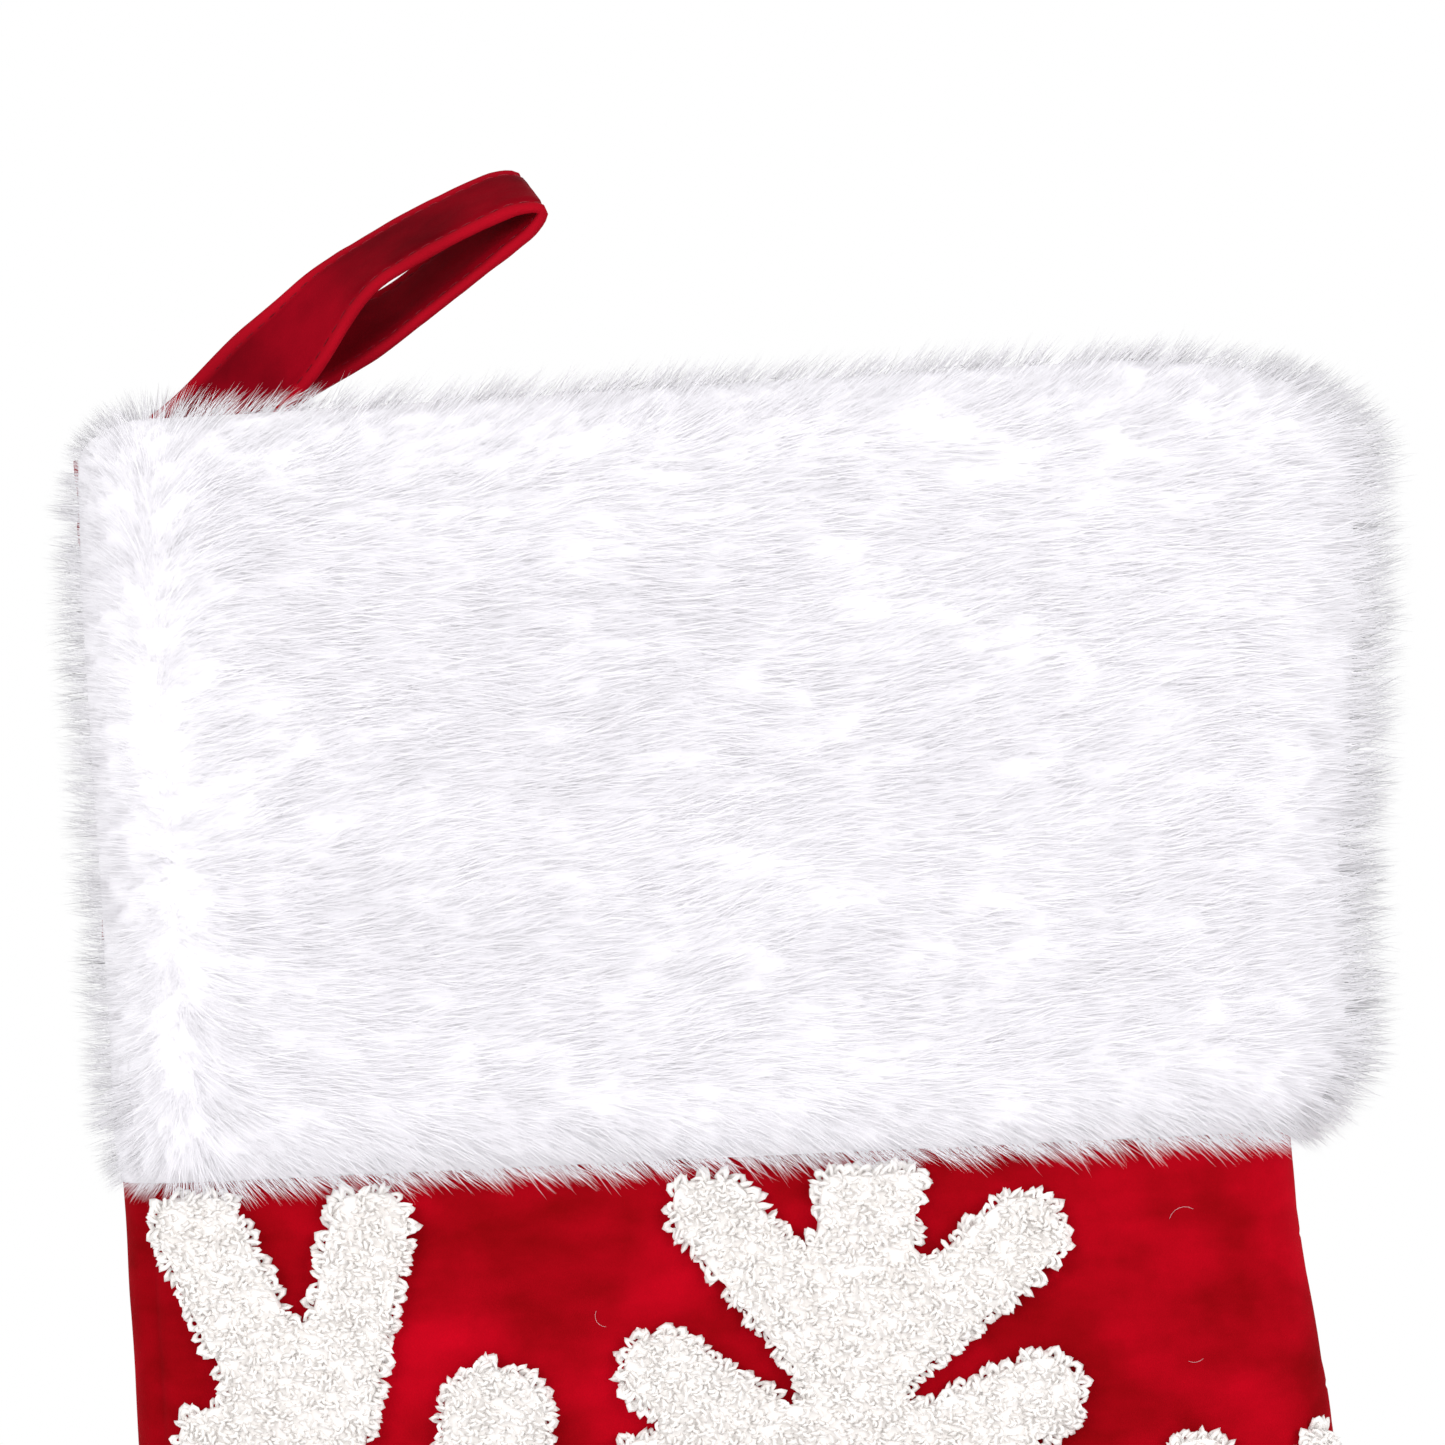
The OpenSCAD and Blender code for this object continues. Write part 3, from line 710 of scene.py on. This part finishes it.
# ---- Hanging loop
# A strip of velvet folded double and topstitched along both edges, then folded in half over the
# hook. Its two ends are sewn into the heel-side seam, and its front layer turns as it rises.
strap_width = 0.019
strap_thickness = 0.0022
strap_twist = math.radians(55)
loop_bow = 0.0034
lean_joint, fold_joint = (next(j for j in frame["joints"] if j["name"] == name)
                          for name in ("loop_lean", "loop_fold"))
root = Vector(lean_joint["pos_m"])
lie = -root.normalized()
across = Vector((-lie.z, 0, lie.x))
loop_base = 0.008
loop_length = root.length + strap_thickness / 2 - loop_base
layer_spread = 0.00145
eye_spread = 0.0066
tail_length = 0.024
straight_step = 0.0005
stitch_inset = 0.0024


def strap_middle(turn):
    """A point on the strap's middle line. It runs up the front layer, round the fold at 180 degrees
    and down the back layer to 360, and on along the straight tails outside those limits."""
    bent = math.radians(min(360, max(0, turn)))
    share = (1 - math.cos(bent)) / 2
    closing = layer_spread * min(1, max(-1, (180 - turn) / 30))
    bow = loop_bow * eased((strap_height(turn) + 0.008) / 0.026) * (1 - 0.6 * share ** 4)
    opening = math.sin(bent) if share > 0.5 else math.copysign(eased(2 * share), 180 - turn)
    spread = math.sin(strap_turn(turn)) * across - math.cos(strap_turn(turn)) * Vector((0, 1, 0))
    return (root + strap_height(turn) * lie + bow * across
            + (closing + eye_spread * opening * (1 - share / 2)) * spread)


def eased(amount):
    """Rises smoothly from 0 to 1 as the amount does."""
    amount = min(1, max(0, amount))
    return amount * amount * (3 - 2 * amount)


def strap_height(turn):
    """How far up from the root the strap's middle line has got."""
    share = (1 - math.cos(math.radians(min(360, max(0, turn))))) / 2
    return loop_base + loop_length * share + straight_step * (min(turn, 0) - max(turn - 360, 0))


def strap_turn(turn):
    """How far the strap has turned about its own length."""
    return strap_twist * eased((strap_height(turn) - 0.008) / 0.04)


tail_turn = (loop_base + tail_length) / straight_step
turns = np.linspace(-tail_turn, 360 + tail_turn, 900).tolist()
runs = np.concatenate([[0], np.cumsum([(strap_middle(b) - strap_middle(a)).length
                                       for a, b in zip(turns, turns[1:])])])


def on_strap(run, sideways, outwards):
    """The point that far along the strap, across it and off its middle line."""
    turn = float(np.interp(run, runs, turns))
    wide = math.cos(strap_turn(turn)) * across + math.sin(strap_turn(turn)) * Vector((0, 1, 0))
    ahead = (strap_middle(turn + 1.5) - strap_middle(turn - 1.5)).normalized()
    return strap_middle(turn) + sideways * wide + outwards * ahead.cross(wide).normalized()


def strap_half_thickness(run, sideways):
    """The strap swells between its stitch lines and in the welts outside them."""
    from_edge = strap_width / 2 - abs(sideways)
    stitched = math.exp(-(((from_edge - stitch_inset) / 0.0006) ** 2))
    rounded = math.sqrt(max(0.0, 1 - max(0.0, 1 - from_edge / 0.0011) ** 2))
    pucker = 0.00012 * wave((run, sideways, 0), 0.0035, 17) + 0.0002 * wave((run, sideways, 0), 0.012, 8)
    return (strap_thickness / 2 * (1.05 - 0.45 * stitched) + pucker) * (0.25 + 0.75 * rounded)


def strap_length_of(form, start, end):
    """Adds the stretch of strap from one run to another, and stores its flat place for the velvet."""
    rows = int((end - start) / 0.0011)
    columns = 26
    earlier = set(form.verts)
    made = bmesh.ops.create_grid(form, x_segments=rows, y_segments=columns, size=1)["verts"]
    faces = list({face for vertex in made for face in vertex.link_faces})
    bmesh.ops.solidify(form, geom=faces, thickness=1)
    flat = form.verts.layers.float_vector.get("flat") or form.verts.layers.float_vector.new("flat")
    made = [vertex for vertex in form.verts if vertex not in earlier]
    middle = sum(vertex.co.z for vertex in made) / len(made)
    for vertex in made:
        run = start + (end - start) * (vertex.co.x + 1) / 2
        reach = math.sin(math.pi / 2 * vertex.co.y)
        sideways = strap_width / 2 * (0.55 * vertex.co.y + 0.45 * reach)
        face_side = 1 if vertex.co.z > middle else -1
        vertex[flat] = Vector((run, sideways, 0.002 * face_side))
        vertex.co = on_strap(run, sideways, face_side * strap_half_thickness(run, sideways))
    bmesh.ops.recalc_face_normals(form, faces=form.faces)


def stitch_row(form, start, end, sideways, faces_out=1):
    """Adds a row of stitches along the strap, each a plump capsule of thread laid in its dimple."""
    stitch_pitch = 0.0031
    for number in range(int((end - start) / stitch_pitch)):
        middle = start + (number + 0.5) * stitch_pitch
        made = bmesh.ops.create_uvsphere(form, u_segments=6, v_segments=5, radius=1)["verts"]
        for vertex in made:
            run = middle + 0.00125 * vertex.co.z
            off = 0.00024 * vertex.co.x + faces_out * (strap_half_thickness(run, sideways) + 0.00002)
            vertex.co = on_strap(run, sideways + 0.00024 * vertex.co.y, off)


crimson_strap = velvet("crimson_strap", (0.1, 0.0002, 0.003), (0.28, 0.0008, 0.008), source="flat")
tree = crimson_strap.node_tree
shader = tree.nodes["Principled BSDF"]
split = add_node(tree, "ShaderNodeSeparateXYZ")
from_middle = add_node(tree, "ShaderNodeMath", [("operation", "ABSOLUTE")])
tree.links.new(tree.nodes["Attribute"].outputs["Vector"], split.inputs["Vector"])
tree.links.new(split.outputs["Y"], from_middle.inputs[0])
# Painted highlight: the welts along both edges are painted a lighter red, for the light that their raised nap
# catches
welts = add_node(tree, "ShaderNodeMapRange",
                 values=[("From Min", 0.0064), ("From Max", 0.0078), ("To Max", 0.5)])
tree.links.new(from_middle.outputs[0], welts.inputs["Value"])
painted_welt_highlight = add_node(tree, "ShaderNodeMix", [("data_type", "RGBA")], [("B", (0.5, 0.004, 0.016, 1))])
tree.links.new(welts.outputs["Result"], painted_welt_highlight.inputs["Factor"])
tree.links.new(shader.inputs["Base Color"].links[0].from_socket, painted_welt_highlight.inputs["A"])
tree.links.new(painted_welt_highlight.outputs["Result"], shader.inputs["Base Color"])
red_thread, tree, shader, place = cloth_material("red_thread", 0.55, 0.35, (1, 0.4, 0.45, 1))
plies = noise_at(tree, place, 1600, 1)
tree.links.new(colour_between(tree, plies, 0.3, 0.7, (0.13, 0.001, 0.005), (0.24, 0.003, 0.012)),
               shader.inputs["Base Color"])
bump(tree, plies, 0.0001, 0.5, shader)

steady = 0.006
strap_end = float(runs[-1])
joining_turn = -(loop_base - steady - 0.0004) / straight_step
front_join = float(np.interp(joining_turn, turns, runs))
back_join = strap_end - front_join
stitch_line = strap_width / 2 - stitch_inset
stretches = {"strap_tails": [(0, front_join), (back_join, strap_end)], "strap_loop": [(front_join, back_join)]}
stands_for = {"strap_tails": ("loop_tails", "loop_root"), "strap_loop": ("hang_loop",)}
# The crossed box on the tails is not drawn: the straight rows stand for it
stitches_for = {"strap_tails": ("loop_root_topstitch", "loop_box_stitch"),
                "strap_loop": ("hang_loop_topstitch",)}
for name, parts in stretches.items():
    cloth = bmesh.new()
    thread = bmesh.new()
    for start, end in parts:
        strap_length_of(cloth, start, end)
        for sideways in (-stitch_line, stitch_line):
            for faces_out in (-1, 1):
                stitch_row(thread, start, end, sideways, faces_out)
    strap_piece = link_piece(name, cloth, crimson_strap)
    strap_piece.data.set_sharp_from_angle(angle=math.radians(60))
    thread_piece = link_piece(name + "_stitches", thread, red_thread)
    for piece in (strap_piece, thread_piece):
        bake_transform(piece)
    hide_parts(*stands_for[name])
    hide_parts(*stitches_for[name])


# ---- Tufted snowflakes
# Cream yarn punched through the velvet in close loops, which stand up as thick pads in the shape of
# snowflakes. Each pad follows the velvet, and its loops lie every way, over its edge too.
tuft_cell = 0.0017
yarn_radius = 0.00033

cream_yarn, tree, shader, place = cloth_material("cream_yarn", 0.85, 0.25, (1, 0.98, 0.95, 1))
twist = noise_at(tree, place, 1300, 2)
shade = noise_at(tree, place, 240, 2)
tree.links.new(mixed(tree, colour_between(tree, twist, 0.3, 0.7, (0.78, 0.75, 0.73), (0.87, 0.845, 0.83)),
                     colour_between(tree, shade, 0.3, 0.7, (0.79, 0.76, 0.735), (0.88, 0.86, 0.845)), 0.5),
               shader.inputs["Base Color"])
bump(tree, twist, 0.00015, 0.5, shader)
# Painted glow: the yarn gives off a little light of its own, which lifts the shadows between its loops
shader.inputs["Emission Color"].default_value = (1, 0.97, 0.95, 1)
shader.inputs["Emission Strength"].default_value = 0.1


def yarn_loop(form, wide, tall, foot, turned):
    """Adds one loop of yarn: an arch with both feet in the cloth, turned about its own middle."""
    earlier = set(form.verts)
    ring = bmesh.ops.create_circle(form, cap_ends=True, segments=4, radius=yarn_radius)["verts"]
    face = ring[0].link_faces[0]
    bmesh.ops.translate(form, verts=ring, vec=(wide / 2, 0, 0))
    bmesh.ops.spin(form, geom=[face], cent=(0, 0, 0), axis=(0, -1, 0), angle=math.pi, steps=4)
    for vertex in set(form.verts) - earlier:
        vertex.co.z = vertex.co.z * 2 * tall / wide
        sway = 0.35 * vertex.co.z
        x, y = vertex.co.x, vertex.co.y + sway
        vertex.co.x = x * math.cos(turned) - y * math.sin(turned) + foot[0]
        vertex.co.y = x * math.sin(turned) + y * math.cos(turned) + foot[1]


yarn_loops = sprig_box("yarn_loops")
luck = np.random.default_rng(7)
for number in range(7):
    loop = bmesh.new()
    yarn_loop(loop, wide=luck.uniform(0.0013, 0.0019), tall=luck.uniform(0.0009, 0.0014), foot=(0, 0),
              turned=luck.uniform(0, math.pi))
    bmesh.ops.recalc_face_normals(loop, faces=loop.faces)
    put_in(yarn_loops, f"yarn_loop_{number}", loop)

front_surface = BVHTree.FromBMesh(bag)
flat_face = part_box("front_panel")[0].y


def velvet_depth(x, z):
    """How far behind the panel's flat face the velvet lies at that place."""
    hit = front_surface.ray_cast(Vector((x, -0.1, z)), Vector((0, 1, 0)))[0]
    return hit.y - flat_face if hit else -flat_face


# Loops a square metre, more on the three snowflakes nearest the cuff
loop_density = {"snowflake_center": 560000, "snowflake_left": 580000, "snowflake_right": 600000}
usual_density = 330000
for name in sorted(node for node in nodes if node.startswith("snowflake")):
    pad = bmesh.new()
    pad.from_mesh(nodes[name].data)
    bmesh.ops.remove_doubles(pad, verts=pad.verts, dist=1e-5)
    pad = evenly_meshed(name, pad, tuft_cell)
    smooth(pad, 3)
    pad.normal_update()
    growth = pad.verts.layers.float.new("growth")
    lean = pad.verts.layers.float_vector.new("lean")
    comb = pad.verts.layers.float_vector.new("comb")
    length = pad.verts.layers.float.new("length")
    back_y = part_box(name)[1].y
    for vertex in pad.verts:
        lump = 0.00045 * wave(vertex.co, 0.0022, 2) + 0.0004 * wave(vertex.co, 0.006, 9)
        normal = vertex.normal.copy()
        standing = min(1, (back_y - vertex.co.y) / 0.0015)
        vertex.co += (lump - 0.0011) * standing * normal
        vertex.co.y = back_y + 0.78 * (vertex.co.y - back_y) + velvet_depth(vertex.co.x, vertex.co.z) + 0.0002
        vertex[growth] = 1.0 if normal.y < 0.25 else 0.0
        vertex[lean] = (normal + Vector((0.5, 0, 0.1))).normalized()
        vertex[comb] = Vector((0.3, 0.1, 1))
        vertex[length] = 1.45 - 0.5 * min(1, max(0, -normal.y))
    pad.normal_update()
    pad_piece = link_piece(name.replace("snowflake", "flake_pad"), pad, cream_yarn)
    loops = plant(name.replace("snowflake", "flake_loops"), pad_piece, yarn_loops,
                  density=loop_density.get(name, usual_density), seed=300 + len(name), tilt=0.3, turn=1.2,
                  sizes=(0.8, 1.15), softness=0.12, material=cream_yarn)
    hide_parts(name)
    for piece in (pad_piece, loops):
        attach(piece, "stocking")


# ---- Lint
# A few pale fibres, shed by the cuff, that cling to the velvet.
lint_fluff, tree, shader, place = cloth_material("lint_fluff", 0.9, 0.2, (1, 0.9, 0.9, 1))
shader.inputs["Base Color"].default_value = (0.75, 0.5, 0.52, 1)
lint = bmesh.new()
luck = np.random.default_rng(5)
leg_middle = Vector((heel_edge + 0.12, 0, mouth_z - 0.3))
for _ in range(46):
    spot = leg_middle + Vector((luck.uniform(-0.11, 0.11), 0, luck.uniform(-0.17, 0.13)))
    bend, sweep = luck.uniform(0.0012, 0.004), luck.uniform(0.5, 2.2)
    turned = luck.uniform(0, 2 * math.pi)
    earlier = set(lint.verts)
    ring = bmesh.ops.create_circle(lint, cap_ends=True, segments=3, radius=0.000035)["verts"]
    face = ring[0].link_faces[0]
    bmesh.ops.translate(lint, verts=ring, vec=(bend, 0, 0))
    bmesh.ops.spin(lint, geom=[face], cent=(0, 0, 0), axis=(0, -1, 0), angle=sweep, steps=6)
    for vertex in set(lint.verts) - earlier:
        x, z = vertex.co.x - bend, vertex.co.z
        vertex.co.x = spot.x + x * math.cos(turned) - z * math.sin(turned)
        vertex.co.z = spot.z + x * math.sin(turned) + z * math.cos(turned)
        vertex.co.y += flat_face + velvet_depth(vertex.co.x, vertex.co.z) - 0.00004
bmesh.ops.recalc_face_normals(lint, faces=lint.faces)
lint_piece = link_piece("lint_fibres", lint, lint_fluff)
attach(lint_piece, "stocking")


# ---- Clearing away the planted sprigs, and the end
for box in (pile_tufts, yarn_loops):
    for sprig in box.objects[:]:
        bpy.data.objects.remove(sprig)
    bpy.data.collections.remove(box)
bag.free()
open_bag.free()
